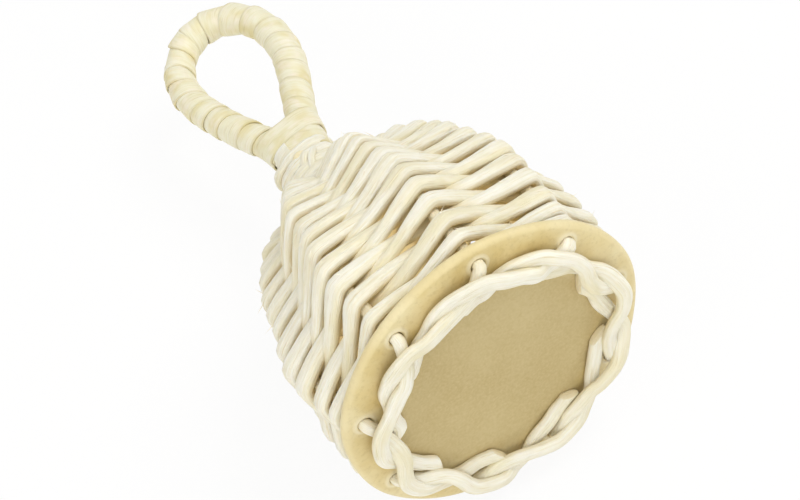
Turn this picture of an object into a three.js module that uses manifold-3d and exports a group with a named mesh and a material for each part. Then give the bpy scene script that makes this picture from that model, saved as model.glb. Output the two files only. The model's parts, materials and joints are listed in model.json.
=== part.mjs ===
// A caxixi: a small twined basket on a round base disc, with loose seeds inside and a bound finger loop.
// Sizes are in millimetres. The basket is built upright, with the outer face of its disc at height zero,
// and then laid on its side, as it rests on a table.

import * as THREE from 'three';
import { mergeVertices } from 'three/addons/utils/BufferGeometryUtils.js';
import Module from 'manifold-3d';

const wasm = await Module();
wasm.setup();

// Fits
const CLEARANCE = 0.3;
const HOLE_CLEARANCE = 0.5;
const WRAP_CLEARANCE = 0.5;

// Base disc, with a hole for each stake at an inset from its edge
const DISC_RADIUS = 38;
const DISC_THICKNESS = 3.2;
const DISC_EDGE_ROUND = 1.2;
const DISC_RIM_FALL = 0.5;
const HOLE_INSET = 4.7;
const FIELD_MARGIN = 1;

// Stakes, the ribs of the basket, whose shape is in shares of the hole circle's radius and the basket's height
const STAKES = 9;
const STAKE_DIAMETER = 2.8;
const BASKET_HEIGHT = 83;
const BELLY_SWELL = 1.1;
const BELLY_SHARE = 0.217;
const FLANK_RADIUS_SHARE = 0.928;
const FLANK_SHARE = 0.53;
const SHOULDER_RADIUS_SHARE = 0.718;
const SHOULDER_SHARE = 0.675;
const CROWN_RADIUS_SHARE = 0.402;
const CROWN_SHARE = 0.795;
const NECK_SHARE = 0.928;

// Twined wall
const ROWS = 12;
const WOVEN_SHARE = 0.782;
const WEAVER_WIDTH = 3;
const WEAVER_THICKNESS = 2.4;
const WEAVERS = 2;
const LENGTHS_PER_WEAVER = 6;
const SPLICE_GAP = 0.6;

// Neck binding, a round reed that starts some stake spacings after the last woven row
const BINDING_DIAMETER = 2;
const BINDING_TURNS = 3.8;
const BINDING_LAG = 1.5;

// Collar, a flat cane strip that grips the tops of the stakes
const COLLAR_THICKNESS = 0.9;
const COLLAR_WIDTH = 3.9;
const COLLAR_TURNS = 2;
const COLLAR_GAP = 0.6;
const COLLAR_GRIP = 1.4;

// Handle loop and its flat cane wrap
const CORE_DIAMETER = 4.2;
const LOOP_RADIUS = 14.7;
const LOOP_REACH = 47.3;
const LEG_GRIP = 11;
const LEG_PARTING_RISE = 2;
const LOOP_TURN = THREE.MathUtils.degToRad(15.5);
const WRAP_THICKNESS = 1.1;
const WRAP_TURNS = 19;
const WRAP_GAP = 0.7;

// Seeds, and the straight lanes they fly along from the disc down to the wall
const SEED_DIAMETER = 5;
const SEED_ROWS = [7, 5];
const SEED_SPACING = 5.5;
const SEED_LANE_INSET = 9.9;
const SEED_LANE_FALL = THREE.MathUtils.degToRad(12);

// Lying pose: the disc's rim and the wall at this share of the basket's height touch the table
const LYING_REST_SHARE = 0.325;

// Mesh fineness
const WEAVER_STEPS = 4;
const WEAVER_SIDES = 5;
const REED_SIDES = 6;
const WRAP_STEPS = 12;
const COLLAR_STEPS = 24;
const BINDING_STEPS = 18;
const CORE_SIDES = 8;
const DISC_SEGMENTS = 45;
const HOLE_SIDES = 10;
const WALL_RINGS = 16;
const BORDER_RINGS_PER_POINT = 2;
const ARC_STEP = Math.PI / 12;
const LEG_STOPS = [0.15, 0.4, 0.7];
const CORE_RINGS = 48;
const SEARCH_STEPS = 40;
const WELD_DISTANCE = 1e-4;
const FIRST_SIDE = new THREE.Vector3(0.3, 0.5, 0.8);

// Values worked out from the sizes
const FULL_TURN = 2 * Math.PI;
const STAKE_SPACING = FULL_TURN / STAKES;
const TOP_STAKE_ANGLE = -Math.PI / 2;
const stakeRadius = STAKE_DIAMETER / 2;
const coreRadius = CORE_DIAMETER / 2;
const legOffset = coreRadius + CLEARANCE / 2;
const neckRadius = legOffset + coreRadius + CLEARANCE + stakeRadius;
const holeCircleRadius = DISC_RADIUS - HOLE_INSET;
const twistDepth = (STAKE_DIAMETER + WEAVER_THICKNESS) / 2 + CLEARANCE;
const weaveCrossings = ROWS * STAKES;
const wrapInnerRadius = coreRadius + WRAP_CLEARANCE;
const wrapOuterRadius = wrapInnerRadius + WRAP_THICKNESS;
const collarInnerRadius = neckRadius + stakeRadius + CLEARANCE;
const collarHeight = BASKET_HEIGHT - COLLAR_GRIP;
const collarPitch = COLLAR_WIDTH + COLLAR_GAP;
const collarTop = collarHeight + COLLAR_TURNS * collarPitch + COLLAR_WIDTH;
const legPartingHeight = BASKET_HEIGHT + LEG_PARTING_RISE;
const loopCentreHeight = BASKET_HEIGHT + LOOP_REACH;

// Closed skin over a row of rings, each ring running anticlockwise about the way the row goes
function skin(rings) {
  const sides = rings[0].length;
  const faces = [];
  for (let i = 0; i + 1 < rings.length; i += 1) {
    for (let j = 0; j < sides; j += 1) {
      const near = i * sides + j;
      const nearNext = i * sides + ((j + 1) % sides);
      faces.push(near, nearNext, near + sides);
      faces.push(nearNext, nearNext + sides, near + sides);
    }
  }
  const last = (rings.length - 1) * sides;
  for (let j = 1; j + 1 < sides; j += 1) {
    faces.push(0, j + 1, j);
    faces.push(last, last + j, last + j + 1);
  }
  const geometry = new THREE.BufferGeometry();
  const places = rings.flat().flatMap((point) => point.toArray());
  geometry.setAttribute('position', new THREE.Float32BufferAttribute(places, 3));
  geometry.setIndex(faces);
  return geometry;
}

// Round rings along a row of points, carried along without twist
function tubeRings(points, radius, sides) {
  const last = points.length - 1;
  const side = FIRST_SIDE.clone();
  return points.map((point, i) => {
    const ahead = points[Math.min(i + 1, last)];
    const behind = points[Math.max(i - 1, 0)];
    const along = ahead.clone().sub(behind).normalize();
    side.addScaledVector(along, -side.dot(along)).normalize();
    const across = along.clone().cross(side);
    return Array.from({ length: sides }, (_, j) => {
      const turn = (j / sides) * FULL_TURN;
      const place = point.clone().addScaledVector(side, radius * Math.cos(turn));
      return place.addScaledVector(across, radius * Math.sin(turn));
    });
  });
}

// Least gap of a winding to itself, measured on the points of its rings
function leastGap(rings, stepsPerTurn) {
  let least = Infinity;
  const nearest = Math.ceil(stepsPerTurn / 2);
  for (let i = 0; i + nearest < rings.length; i += 1) {
    const furthest = Math.min(rings.length - 1, i + 2 * stepsPerTurn);
    for (let j = i + nearest; j <= furthest; j += 1) {
      for (const point of rings[i]) {
        for (const other of rings[j]) {
          least = Math.min(least, point.distanceTo(other));
        }
      }
    }
  }
  return least;
}

function winding(name, rings, stepsPerTurn) {
  console.log(`${name}: least gap to itself ${leastGap(rings, stepsPerTurn).toFixed(2)} mm`);
  return skin(rings);
}

function polar(radius, angle, height) {
  return new THREE.Vector3(radius * Math.cos(angle), radius * Math.sin(angle), height);
}

function stakeAngle(index) {
  return TOP_STAKE_ANGLE + index * STAKE_SPACING;
}

// Line of a stake's centre up the wall: radius in x, height in z
const stakeLine = new THREE.CatmullRomCurve3(
  [
    new THREE.Vector3(holeCircleRadius, 0, 0),
    new THREE.Vector3(holeCircleRadius + BELLY_SWELL, 0, BELLY_SHARE * BASKET_HEIGHT),
    new THREE.Vector3(FLANK_RADIUS_SHARE * holeCircleRadius, 0, FLANK_SHARE * BASKET_HEIGHT),
    new THREE.Vector3(SHOULDER_RADIUS_SHARE * holeCircleRadius, 0, SHOULDER_SHARE * BASKET_HEIGHT),
    new THREE.Vector3(CROWN_RADIUS_SHARE * holeCircleRadius, 0, CROWN_SHARE * BASKET_HEIGHT),
    new THREE.Vector3(neckRadius, 0, NECK_SHARE * BASKET_HEIGHT),
    new THREE.Vector3(neckRadius, 0, BASKET_HEIGHT),
  ],
  false,
  'centripetal',
);
const stakeLineLength = stakeLine.getLength();

// Woven rows fill the wall from the disc to a share of the stake line
const rowPitch = (WOVEN_SHARE * stakeLineLength - DISC_THICKNESS - CLEARANCE / 2) / (ROWS + 0.5);
const crossingHeight = rowPitch / 2 - CLEARANCE;
const twistRise = rowPitch / 4;
const weaveStart = DISC_THICKNESS + (CLEARANCE + rowPitch) / 2;

// Place and directions on the wall, at a length up the stake line and an angle round the basket
function wallFrame(length, angle) {
  const share = THREE.MathUtils.clamp(length / stakeLineLength, 0, 1);
  const line = stakeLine.getPointAt(share);
  const slope = stakeLine.getTangentAt(share);
  return {
    radius: line.x,
    point: polar(line.x, angle, line.z),
    up: polar(slope.x, angle, slope.z),
    out: polar(slope.z, angle, -slope.x),
  };
}

// Share of a line's length at which it reaches a height, on its rising first part
function shareAtHeight(line, height, lastShare) {
  let low = 0;
  let high = lastShare;
  for (let i = 0; i < SEARCH_STEPS; i += 1) {
    const middle = (low + high) / 2;
    if (line.getPointAt(middle).z < height) low = middle;
    else high = middle;
  }
  return low;
}

// Closed solids, for the disc and its holes
function solidOf(geometry) {
  const plain = geometry.clone();
  plain.deleteAttribute('normal');
  plain.deleteAttribute('uv');
  const merged = mergeVertices(plain, WELD_DISTANCE);
  const corners = [];
  for (let i = 0; i < merged.index.count; i += 3) {
    const [a, b, c] = [0, 1, 2].map((k) => merged.index.getX(i + k));
    if (a !== b && b !== c && c !== a) corners.push(a, b, c);
  }
  return new wasm.Manifold(
    new wasm.Mesh({
      numProp: 3,
      vertProperties: Float32Array.from(merged.attributes.position.array),
      triVerts: Uint32Array.from(corners),
    }),
  );
}

function geometryOf(solid) {
  const mesh = solid.getMesh();
  const geometry = new THREE.BufferGeometry();
  geometry.setAttribute('position', new THREE.Float32BufferAttribute(mesh.vertProperties, 3));
  geometry.setIndex(Array.from(mesh.triVerts));
  return geometry;
}

// Route of a stake in the foot border, from its cut end to its hole. A stake leaves its hole, dips under
// the stake before it, comes up on the inside, rides over the next stake and ends inside past the one after.
// Each row: how many stake spacings past its own hole, how far inside the hole circle, how far off the disc,
// with the last two counted in lanes, one reed and its clearance wide.
const LANE = STAKE_DIAMETER + CLEARANCE;
const LOW_LANE = stakeRadius + 2 * CLEARANCE;
const BORDER_ROUTE = [
  { past: 2.15, inside: 2.4, off: 0 },
  { past: 2, inside: 2.05, off: 0 },
  { past: 1.8, inside: 1.4, off: 0 },
  { past: 1.62, inside: 0.8, off: 0.12 },
  { past: 1.45, inside: 0.48, off: 0.48 },
  { past: 1.25, inside: 0.35, off: 0.87 },
  { past: 1, inside: 0.55, off: 1.22 },
  { past: 0.8, inside: 1.05, off: 1.3 },
  { past: 0.62, inside: 1.6, off: 1.08 },
  { past: 0.42, inside: 1.77, off: 0.6 },
  { past: 0.2, inside: 1.3, off: 0.3 },
  { past: 0.08, inside: 0.68, off: 0.08 },
  { past: 0.02, inside: 0.2, off: -0.16 },
];
const borderReach = Math.max(...BORDER_ROUTE.map((stop) => stop.inside));
const fieldRadius = holeCircleRadius - borderReach * LANE - stakeRadius - FIELD_MARGIN;

// Base disc: a flat field on its outer face, a rim that falls away a little, a hole for each stake
function baseDisc() {
  const outline = new THREE.Path();
  const shoulder = DISC_RADIUS - DISC_EDGE_ROUND;
  outline.moveTo(0, 0);
  outline.lineTo(fieldRadius, 0);
  outline.lineTo(shoulder, DISC_RIM_FALL);
  outline.quadraticCurveTo(DISC_RADIUS, DISC_RIM_FALL, DISC_RADIUS, DISC_RIM_FALL + DISC_EDGE_ROUND);
  outline.lineTo(DISC_RADIUS, DISC_THICKNESS - DISC_EDGE_ROUND);
  outline.quadraticCurveTo(DISC_RADIUS, DISC_THICKNESS, shoulder, DISC_THICKNESS);
  outline.lineTo(0, DISC_THICKNESS);
  const lathe = new THREE.LatheGeometry(outline.getPoints(3), DISC_SEGMENTS);
  lathe.rotateX(Math.PI / 2);
  let solid = solidOf(lathe);
  for (let index = 0; index < STAKES; index += 1) {
    const hole = new THREE.CylinderGeometry(
      stakeRadius + HOLE_CLEARANCE,
      stakeRadius + HOLE_CLEARANCE,
      3 * DISC_THICKNESS,
      HOLE_SIDES,
    );
    hole.rotateX(Math.PI / 2);
    const centre = polar(holeCircleRadius, stakeAngle(index), DISC_THICKNESS / 2);
    hole.translate(centre.x, centre.y, centre.z);
    solid = solid.subtract(solidOf(hole));
  }
  return geometryOf(solid);
}

function stakePoints(index) {
  const angle = stakeAngle(index);
  const border = BORDER_ROUTE.map((stop) => {
    const radius = holeCircleRadius - stop.inside * LANE;
    return polar(radius, angle - stop.past * STAKE_SPACING, -(LOW_LANE + stop.off * LANE));
  });
  const wall = [polar(holeCircleRadius, angle, -CLEARANCE)];
  for (let ring = 0; ring <= WALL_RINGS; ring += 1) {
    const line = stakeLine.getPointAt(ring / WALL_RINGS);
    wall.push(polar(line.x, angle, Math.max(line.z, DISC_THICKNESS / 2)));
  }
  const curve = new THREE.CatmullRomCurve3([...border, ...wall], false, 'centripetal');
  const spans = border.length + wall.length - 1;
  const points = [];
  for (let span = 0; span < spans; span += 1) {
    const parts = span < border.length ? BORDER_RINGS_PER_POINT : 1;
    for (let part = 0; part < parts; part += 1) points.push(curve.getPoint((span + part / parts) / spans));
  }
  points.push(curve.getPoint(1));
  return points;
}

// Weavers: the two strands turn half round each other between one stake and the next, so that each passes
// outside and inside the stakes in turn. A strand is squeezed where the pair cross.
function weaverRings(strand, firstCrossing, lastCrossing) {
  const trim = SPLICE_GAP / 2 / (holeCircleRadius * STAKE_SPACING);
  const steps = (lastCrossing - firstCrossing) * WEAVER_STEPS;
  const flatness = 1 - Math.cos(STAKE_SPACING / 2);
  const rings = [];
  for (let step = 0; step <= steps; step += 1) {
    const crossing = THREE.MathUtils.lerp(firstCrossing + trim, lastCrossing - trim, step / steps);
    const twist = Math.PI * (crossing + strand);
    const outside = Math.cos(twist);
    const aside = Math.sin(twist);
    const length = weaveStart + (rowPitch * crossing) / STAKES + twistRise * aside;
    const wall = wallFrame(length, stakeAngle(crossing));
    const depth = twistDepth * outside - flatness * wall.radius * aside * aside;
    const centre = wall.point.addScaledVector(wall.out, depth);
    const halfHeight = THREE.MathUtils.lerp(crossingHeight, WEAVER_WIDTH, outside * outside) / 2;
    rings.push(
      Array.from({ length: WEAVER_SIDES }, (_, side) => {
        const turn = Math.PI / 2 + (side / WEAVER_SIDES) * FULL_TURN;
        const place = centre.clone().addScaledVector(wall.up, halfHeight * Math.cos(turn));
        return place.addScaledVector(wall.out, (WEAVER_THICKNESS / 2) * Math.sin(turn));
      }),
    );
  }
  return rings;
}

// Neck binding: one reed wound round the gathered stakes, from the last woven row up to the collar
function bindingRings() {
  const firstCrossing = weaveCrossings + BINDING_LAG;
  const offset = stakeRadius + CLEARANCE + BINDING_DIAMETER / 2;
  const firstLength = weaveStart + (rowPitch * (firstCrossing - 1)) / STAKES;
  const lastLength = stakeLineLength * shareAtHeight(stakeLine, collarHeight - BINDING_DIAMETER, 1);
  const steps = Math.round(BINDING_TURNS * BINDING_STEPS);
  const rings = [];
  for (let step = 0; step <= steps; step += 1) {
    const length = THREE.MathUtils.lerp(firstLength, lastLength, step / steps);
    const wall = wallFrame(length, stakeAngle(firstCrossing + (step / BINDING_STEPS) * STAKES));
    const centre = wall.point.addScaledVector(wall.out, offset);
    rings.push(
      Array.from({ length: REED_SIDES }, (_, side) => {
        const turn = (side / REED_SIDES) * FULL_TURN;
        const place = centre.clone().addScaledVector(wall.up, (BINDING_DIAMETER / 2) * Math.cos(turn));
        return place.addScaledVector(wall.out, (BINDING_DIAMETER / 2) * Math.sin(turn));
      }),
    );
  }
  return rings;
}

// Collar: a flat strip wound round the tops of the stakes and the two legs of the loop
function collarRings() {
  const steps = COLLAR_TURNS * COLLAR_STEPS;
  const outer = collarInnerRadius + COLLAR_THICKNESS;
  const rings = [];
  for (let step = 0; step <= steps; step += 1) {
    const turns = step / COLLAR_STEPS;
    const angle = turns * FULL_TURN;
    const bottom = collarHeight + turns * collarPitch;
    const top = bottom + COLLAR_WIDTH;
    rings.push([
      polar(collarInnerRadius, angle, top),
      polar(outer, angle, top),
      polar(outer, angle, bottom),
      polar(collarInnerRadius, angle, bottom),
    ]);
  }
  return rings;
}

// Centre line of the loop: two legs side by side in the neck, which part and run into one round bow
function loopLine() {
  const footHeight = BASKET_HEIGHT - LEG_GRIP;
  const reach = loopCentreHeight - legPartingHeight;
  const distance = Math.hypot(legOffset, reach);
  const splay = Math.asin(LOOP_RADIUS / distance) - Math.atan2(legOffset, reach);
  const legRun = Math.sqrt(distance * distance - LOOP_RADIUS * LOOP_RADIUS);
  const leg = [
    [legOffset, footHeight],
    [legOffset, (footHeight + legPartingHeight) / 2],
    [legOffset, legPartingHeight - coreRadius],
    ...LEG_STOPS.map((share) => [
      legOffset + share * legRun * Math.sin(splay),
      legPartingHeight + share * legRun * Math.cos(splay),
    ]),
  ];
  const bow = [];
  const sweep = Math.PI + 2 * splay;
  const parts = Math.round(sweep / ARC_STEP);
  for (let part = 0; part <= parts; part += 1) {
    const angle = -splay + (part / parts) * sweep;
    bow.push([LOOP_RADIUS * Math.cos(angle), loopCentreHeight + LOOP_RADIUS * Math.sin(angle)]);
  }
  const otherLeg = leg.map(([across, height]) => [-across, height]).reverse();
  const places = [...leg, ...bow, ...otherLeg].map(
    ([across, height]) =>
      new THREE.Vector3(across * Math.cos(LOOP_TURN), -across * Math.sin(LOOP_TURN), height),
  );
  return new THREE.CatmullRomCurve3(places, false, 'centripetal');
}

const handleLine = loopLine();
const handleLength = handleLine.getLength();
const loopFace = new THREE.Vector3(Math.sin(LOOP_TURN), Math.cos(LOOP_TURN), 0);

function handleCore() {
  return skin(tubeRings(handleLine.getSpacedPoints(CORE_RINGS), coreRadius, CORE_SIDES));
}

// Wrap: a flat strip wound along the loop from the collar, round the bow and back to the collar. Its width
// is measured along the centre line, so the turns close up on the inside of the bow.
function wrapRings() {
  const start = handleLength * shareAtHeight(handleLine, collarTop + CLEARANCE + wrapOuterRadius / 2, 0.5);
  const pitch = (handleLength - 2 * start) / (WRAP_TURNS + 1);
  const width = pitch - WRAP_GAP;
  const steps = WRAP_TURNS * WRAP_STEPS;
  const rings = [];
  for (let step = 0; step <= steps; step += 1) {
    const turns = step / WRAP_STEPS;
    const turn = turns * FULL_TURN;
    const bottom = start + turns * pitch;
    const corner = (length, radius) => {
      const share = length / handleLength;
      const along = handleLine.getTangentAt(share);
      const side = loopFace.clone().cross(along);
      const place = handleLine.getPointAt(share).addScaledVector(side, radius * Math.sin(turn));
      return place.addScaledVector(loopFace, radius * Math.cos(turn));
    };
    rings.push([
      corner(bottom, wrapInnerRadius),
      corner(bottom, wrapOuterRadius),
      corner(bottom + width, wrapOuterRadius),
      corner(bottom + width, wrapInnerRadius),
    ]);
  }
  return rings;
}

// Seeds: each lies where its lane, which falls from the disc towards the handle, meets the inside of the wall
const wallEdges = [];

function noteWallEdges(rings) {
  for (let i = 0; i + 1 < rings.length; i += 1) {
    rings[i].forEach((point, side) => wallEdges.push(new THREE.Line3(point, rings[i + 1][side])));
  }
}

function gapToWall(place) {
  const nearest = new THREE.Vector3();
  let least = Infinity;
  for (const edge of wallEdges) {
    edge.closestPointToPoint(place, true, nearest);
    least = Math.min(least, nearest.distanceTo(place));
  }
  return least - SEED_DIAMETER / 2;
}

function seedPlace(row, index) {
  const radius = holeCircleRadius - SEED_LANE_INSET - row * SEED_SPACING;
  const step = 2 * Math.asin(SEED_SPACING / 2 / radius);
  const angle = Math.PI / 2 + (index - (SEED_ROWS[row] - 1) / 2) * step;
  const place = polar(radius, angle, DISC_THICKNESS + CLEARANCE + SEED_DIAMETER / 2);
  const lane = new THREE.Vector3(0, Math.sin(SEED_LANE_FALL), Math.cos(SEED_LANE_FALL));
  for (let free = gapToWall(place); free > 1.05 * CLEARANCE; free = gapToWall(place)) {
    place.addScaledVector(lane, free - CLEARANCE);
  }
  return place;
}

// Materials
const reed = () => new THREE.MeshStandardMaterial({ color: 0xefe8d2, roughness: 0.65, metalness: 0 });
const cane = () => new THREE.MeshStandardMaterial({ color: 0xe9dfbf, roughness: 0.45, metalness: 0 });
const board = () => new THREE.MeshStandardMaterial({ color: 0xc9b37c, roughness: 0.55, metalness: 0 });
const husk = () => new THREE.MeshStandardMaterial({ color: 0x7a4a2a, roughness: 0.4, metalness: 0 });

// Assembly
const instrument = new THREE.Group();
const basket = new THREE.Group();
instrument.add(basket);

function add(name, geometry, material) {
  const mesh = new THREE.Mesh(geometry, material);
  mesh.name = name;
  basket.add(mesh);
  return mesh;
}

add('base_disc', baseDisc(), board());

for (let index = 0; index < STAKES; index += 1) {
  add(`stake_${index + 1}`, skin(tubeRings(stakePoints(index), stakeRadius, REED_SIDES)), reed());
}

const crossingsPerLength = weaveCrossings / LENGTHS_PER_WEAVER;
for (let strand = 0; strand < WEAVERS; strand += 1) {
  for (let part = 0; part < LENGTHS_PER_WEAVER; part += 1) {
    const first = 1 - strand + part * crossingsPerLength;
    const rings = weaverRings(strand, first, first + crossingsPerLength);
    noteWallEdges(rings);
    add(`weaver_${'ab'[strand]}_length_${part + 1}`, skin(rings), reed());
  }
}

add('neck_binding', winding('neck_binding', bindingRings(), BINDING_STEPS), reed());
add('collar', winding('collar', collarRings(), COLLAR_STEPS), cane());
add('handle_core', handleCore(), reed());
add('handle_wrap', winding('handle_wrap', wrapRings(), WRAP_STEPS), cane());

let seedNumber = 0;
SEED_ROWS.forEach((count, row) => {
  for (let index = 0; index < count; index += 1) {
    seedNumber += 1;
    const seed = add(`seed_${seedNumber}`, new THREE.IcosahedronGeometry(SEED_DIAMETER / 2, 1), husk());
    seed.position.copy(seedPlace(row, index));
  }
});

// Lay the basket on its side, tipped so that the disc's rim and the wall touch the table together
const restHeight = LYING_REST_SHARE * BASKET_HEIGHT;
const restRadius = stakeLine.getPointAt(shareAtHeight(stakeLine, restHeight, 1)).x;
const wallReach = restRadius + twistDepth + WEAVER_THICKNESS / 2;
const rimDrop = DISC_RADIUS - wallReach * Math.cos(STAKE_SPACING / 2);
basket.rotation.x = -Math.PI / 2 - Math.atan2(rimDrop, restHeight);

// Put the middle of the footprint at the origin, on the table
instrument.updateMatrixWorld(true);
const box = new THREE.Box3().setFromObject(instrument, true);
const middle = box.getCenter(new THREE.Vector3());
basket.position.set(-middle.x, -middle.y, -box.min.z);

export default instrument;
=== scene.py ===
# %% [markdown]
# # A caxixi, dressed in Blender
# A caxixi is a small basket rattle. Nine reed stakes stand in the holes of a round disc, two reed weavers
# are twined round them up to a narrow neck, and a loop handle wrapped in cane is bound into that neck.
# Seeds lie loose inside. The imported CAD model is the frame: it says where each piece is and how it moves.
# Here every solid gets the form and the finish of the real material.

# %% Load the frame
import json
import math

import bmesh
import bpy
import numpy as np
from mathutils import Matrix, Vector
from mathutils.geometry import delaunay_2d_cdt

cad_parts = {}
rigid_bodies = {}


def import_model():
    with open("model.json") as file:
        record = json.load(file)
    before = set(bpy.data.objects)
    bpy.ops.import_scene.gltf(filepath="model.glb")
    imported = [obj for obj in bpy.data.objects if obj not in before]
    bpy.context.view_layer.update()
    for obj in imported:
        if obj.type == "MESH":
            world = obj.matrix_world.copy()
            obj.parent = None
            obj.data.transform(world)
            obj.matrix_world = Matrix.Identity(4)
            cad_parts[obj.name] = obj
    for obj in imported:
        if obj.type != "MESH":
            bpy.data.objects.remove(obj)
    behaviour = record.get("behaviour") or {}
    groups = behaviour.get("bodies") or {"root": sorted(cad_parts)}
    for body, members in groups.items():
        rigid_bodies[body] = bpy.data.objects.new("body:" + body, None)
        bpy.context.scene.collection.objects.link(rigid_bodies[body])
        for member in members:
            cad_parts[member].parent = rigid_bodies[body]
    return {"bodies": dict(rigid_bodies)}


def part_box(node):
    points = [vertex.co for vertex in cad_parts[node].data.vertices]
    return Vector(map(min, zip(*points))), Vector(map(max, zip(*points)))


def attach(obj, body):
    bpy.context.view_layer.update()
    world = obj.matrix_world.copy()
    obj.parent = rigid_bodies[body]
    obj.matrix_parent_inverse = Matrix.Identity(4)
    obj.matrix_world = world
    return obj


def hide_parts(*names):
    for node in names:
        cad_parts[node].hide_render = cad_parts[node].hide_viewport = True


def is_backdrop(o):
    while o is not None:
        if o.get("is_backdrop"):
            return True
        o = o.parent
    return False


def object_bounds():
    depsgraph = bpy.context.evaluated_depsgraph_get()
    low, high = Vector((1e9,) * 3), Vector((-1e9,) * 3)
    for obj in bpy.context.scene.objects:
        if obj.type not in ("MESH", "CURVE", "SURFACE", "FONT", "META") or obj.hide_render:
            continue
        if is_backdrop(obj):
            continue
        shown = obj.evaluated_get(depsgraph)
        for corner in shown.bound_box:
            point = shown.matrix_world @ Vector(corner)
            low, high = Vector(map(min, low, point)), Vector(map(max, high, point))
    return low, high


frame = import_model()
cad_low, cad_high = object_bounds()
MM = 0.001

# %% [markdown]
# ## Camera
# The camera comes first, because every shape is compared with the photograph through it. It could be
# aimed with a constraint, but three angles and a place give the same view on every run.

# %% Camera
scene = bpy.context.scene
scene.view_settings.view_transform = "Standard"


def placed(name, data):
    """A new object in the scene."""
    thing = bpy.data.objects.new(name, data)
    scene.collection.objects.link(thing)
    return thing


CAMERA_PLACE = Vector((-125.355, -305.247, 408.884)) * MM
CAMERA_AZIMUTH = math.radians(-24.363)
CAMERA_ELEVATION = math.radians(50.607)
CAMERA_ROLL = math.radians(-9.491)
LENS_MM = 93.58

towards_camera = Vector((
    math.sin(CAMERA_AZIMUTH) * math.cos(CAMERA_ELEVATION),
    -math.cos(CAMERA_AZIMUTH) * math.cos(CAMERA_ELEVATION),
    math.sin(CAMERA_ELEVATION),
))
level_turn = (-towards_camera).to_track_quat("-Z", "Y").to_matrix()
camera_turn = level_turn @ Matrix.Rotation(CAMERA_ROLL, 3, "Z")
camera_data = bpy.data.cameras.new("photo_camera")
camera_data.lens = LENS_MM
camera_data.sensor_width = 36.0
camera_data.clip_start = 0.01
camera = placed("photo_camera", camera_data)
camera.matrix_world = Matrix.Translation(CAMERA_PLACE) @ camera_turn.to_4x4()
scene.camera = camera
print("camera right", [round(v, 4) for v in camera_turn.col[0]])

# %% [markdown]
# ## Node trees in a few words
# Both Geometry Nodes and shaders are trees of nodes. These helpers add a node and fill its sockets, either
# with a plain value or with a link from another node, so that the trees below read as short lists.

# %% Helpers for node trees
def fill(tree, node, sockets):
    """Fill a node's sockets with values or links."""
    for key, value in sockets.items():
        if isinstance(value, bpy.types.NodeSocket):
            tree.links.new(value, node.inputs[key])
        else:
            node.inputs[key].default_value = value


def add(tree, kind, sockets=None, **settings):
    """Add a node, set its settings, and fill its sockets."""
    node = tree.nodes.new(kind)
    for key, value in settings.items():
        setattr(node, key, value)
    fill(tree, node, sockets or {})
    return node


def made(tree, kind, sockets=None, **settings):
    """The first output of a new node."""
    return add(tree, kind, sockets, **settings).outputs[0]


def sums(tree, operation, first, second=0.0):
    """One step of arithmetic."""
    return made(tree, "ShaderNodeMath", {0: first, 1: second}, operation=operation)


def times(tree, first, second):
    """One value times another."""
    return sums(tree, "MULTIPLY", first, second)


def plus(tree, first, second):
    """The sum of two values."""
    return sums(tree, "ADD", first, second)


def vector(tree, x, y, z):
    """Three values as one vector."""
    return made(tree, "ShaderNodeCombineXYZ", {0: x, 1: y, 2: z})


def scaled(tree, way, amount):
    """A vector made longer or shorter."""
    return made(tree, "ShaderNodeVectorMath", {0: way, "Scale": amount}, operation="SCALE")


def joined(tree, first, second):
    """The sum of two vectors."""
    return made(tree, "ShaderNodeVectorMath", {0: first, 1: second}, operation="ADD")


def noise_at(tree, place, shift, scale=1.0, detail=2.0, roughness=0.5):
    """Noise at a place; the shift gives each strand its own."""
    sockets = {"Vector": place, "W": shift, "Scale": scale, "Detail": detail, "Roughness": roughness}
    return made(tree, "ShaderNodeTexNoise", sockets, noise_dimensions="4D")


# %% [markdown]
# ## Finishes
# Reed, cane, the waxed disc and the seed husks are all plant material, so each finish is noise drawn out
# along the grain. The swept pieces carry a "grain" attribute in millimetres: how far along the strand, and
# where on its section. Noise read from it has no seam and follows each strand through every bend. Image
# textures would need a flat map of every strand.

# %% Helpers for finishes
def srgb(red, green, blue):
    """A colour as it is seen on a screen, in the linear values that shaders take."""
    shares = (red / 255, green / 255, blue / 255)
    linear = [c / 12.92 if c <= 0.04045 else ((c + 0.055) / 1.055) ** 2.4 for c in shares]
    return (*linear, 1.0)


def emptied(owner):
    """The node tree of a material or a world, with nothing in it."""
    owner.use_nodes = True
    owner.node_tree.nodes.clear()
    return owner.node_tree


def new_finish(name):
    """A material with one Principled shader."""
    material = bpy.data.materials.new(name)
    tree = emptied(material)
    shader = add(tree, "ShaderNodeBsdfPrincipled")
    add(tree, "ShaderNodeOutputMaterial", {"Surface": shader.outputs["BSDF"]})
    return material, tree, shader


def attribute(tree, name, output="Fac"):
    """A value that the mesh carries."""
    return add(tree, "ShaderNodeAttribute", attribute_name=name).outputs[output]


def drawn_noise(tree, coords, stretch, shift, detail=3.0, roughness=0.55):
    """Noise that is stretched along some axes."""
    place = made(tree, "ShaderNodeMapping", {"Vector": coords, "Scale": stretch})
    return noise_at(tree, place, shift, 1.0, detail, roughness)


def speckle(tree, per_metre, shift, detail=3.0, roughness=0.55):
    """Noise that is the same in every direction."""
    coords = add(tree, "ShaderNodeTexCoord").outputs["Object"]
    return drawn_noise(tree, coords, (per_metre,) * 3, shift, detail, roughness)


def spread(tree, value, low, high, to_low=0.0, to_high=1.0):
    """A value's part between low and high, spread over another range."""
    sockets = {"Value": value, 1: low, 2: high, 3: to_low, 4: to_high}
    return made(tree, "ShaderNodeMapRange", sockets)


def tinted(tree, amount, first, second):
    """A mix of two colours."""
    return add(tree, "ShaderNodeMix", {0: amount, 6: first, 7: second}, data_type="RGBA").outputs[2]


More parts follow.
